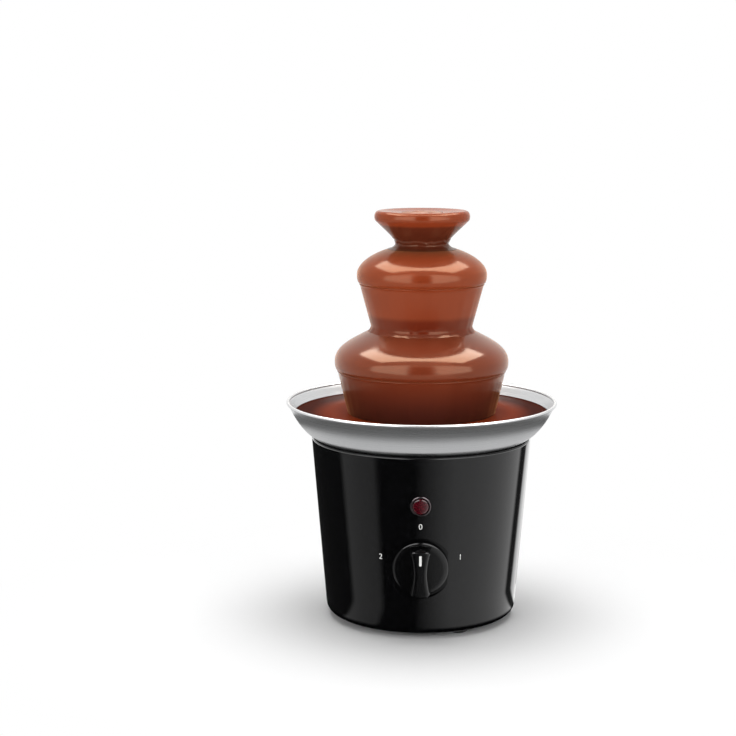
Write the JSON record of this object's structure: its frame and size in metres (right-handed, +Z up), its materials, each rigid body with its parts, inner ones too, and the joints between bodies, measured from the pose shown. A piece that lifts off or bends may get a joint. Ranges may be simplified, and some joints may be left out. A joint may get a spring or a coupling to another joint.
{
  "type": "chocolate fountain",
  "caption": "Table-top chocolate fountain: tapered black base with a knob and lamp, flared steel bowl, and a turning screw in a tiered tower of falling chocolate.",
  "frame": {"origin": "on the table, below the axis of the tower", "axes": "+Z up along the tower's axis, -Y towards the front with the knob, +X to the right seen from the front"},
  "size_m": [0.19, 0.19, 0.287],
  "materials": {
    "black_gloss": "glossy black moulded plastic",
    "black_matte": "fine-grained black plastic",
    "black_rubber": "soft black rubber",
    "steel_bowl": "satin spun stainless steel",
    "zinc": "zinc-plated steel",
    "plate_steel": "plain sheet steel",
    "bright_ring": "bright plated ring",
    "red_lens": "dark red clear plastic",
    "neon_glass": "clear glass with an orange glow",
    "white_mark": "white paint",
    "switch_resin": "moulded resin",
    "copper_winding": "enamelled copper wire",
    "white_nylon": "natural nylon",
    "brass_small": "turned brass",
    "heater_aluminium": "plain aluminium",
    "cream_plastic": "cream food-safe plastic",
    "chocolate": "glossy melted milk chocolate"
  },
  "bodies": {
    "base": {"base_housing": "black_gloss", "bottom_cover": "black_matte", "rubber_feet": "black_rubber", "cover_screws": "zinc", "cord_inlet": "black_matte", "inlet_nut": "black_matte", "terminal_block": "switch_resin", "rotary_switch": "switch_resin", "switch_nut": "zinc", "lamp_bezel": "bright_ring", "lamp_lens": "red_lens", "neon_lamp": "neon_glass", "lamp_clip": "zinc", "motor_can": "plate_steel", "stator_coil": "copper_winding", "motor_screws": "zinc", "lower_gear_plate": "plate_steel", "upper_gear_plate": "plate_steel", "plate_spacers": "zinc", "plate_screws": "zinc", "gear_bushes": "brass_small", "bowl": "steel_bowl", "bowl_gasket": "black_rubber", "bowl_studs": "zinc", "bowl_nuts": "zinc", "bowl_hub": "white_nylon", "hub_nut": "zinc", "shaft_seal": "black_rubber", "heater_plate": "heater_aluminium", "heater_coil": "plate_steel", "thermostat": "switch_resin", "thermal_fuse": "switch_resin", "chocolate_pool": "chocolate"},
    "knob": {"knob": "black_gloss", "knob_mark": "white_mark", "switch_shaft": "zinc"},
    "drive": {"output_gear": "white_nylon", "output_shaft": "zinc", "shaft_clip": "zinc", "drive_hexagon": "white_nylon"},
    "idler": {"idler_gear": "white_nylon", "idler_shaft": "zinc"},
    "rotor": {"rotor": "plate_steel", "rotor_pinion": "brass_small"},
    "auger": {"screw_core": "cream_plastic", "screw_blade": "cream_plastic", "chocolate_swirl": "chocolate"},
    "tower": {"tower_tube": "cream_plastic", "lower_tier": "cream_plastic", "upper_tier": "cream_plastic", "crown": "cream_plastic", "chocolate_lower_flow": "chocolate", "chocolate_upper_flow": "chocolate", "chocolate_crown": "chocolate"}
  },
  "joints": [
    {"name": "knob_turn", "type": "hinge", "parent": "base", "child": "knob", "pos_m": [0, -0.07072, 0.051], "axis": [0, -0.9965, -0.0834], "range_deg": [-75, 75]},
    {"name": "drive_spin", "type": "hinge", "parent": "base", "child": "drive", "pos_m": [0, 0, 0.1], "axis": [0, 0, 1], "continuous": true},
    {"name": "idler_spin", "type": "hinge", "parent": "base", "child": "idler", "pos_m": [0, 0.03, 0.06], "axis": [0, 0, 1], "continuous": true},
    {"name": "rotor_spin", "type": "hinge", "parent": "base", "child": "rotor", "pos_m": [0, 0, 0.03], "axis": [0, 0, 1], "continuous": true},
    {"name": "auger_lift", "type": "slide", "parent": "drive", "child": "auger", "axis": [0, 0, 1], "range_m": [0, 0.165]},
    {"name": "tower_lift", "type": "slide", "parent": "base", "child": "tower", "axis": [0, 0, 1], "range_m": [0, 0.165]}
  ],
  "couplings": [
    {"joint": "idler_spin", "follows": "drive_spin", "ratio": -3},
    {"joint": "rotor_spin", "follows": "drive_spin", "ratio": 9}
  ]
}
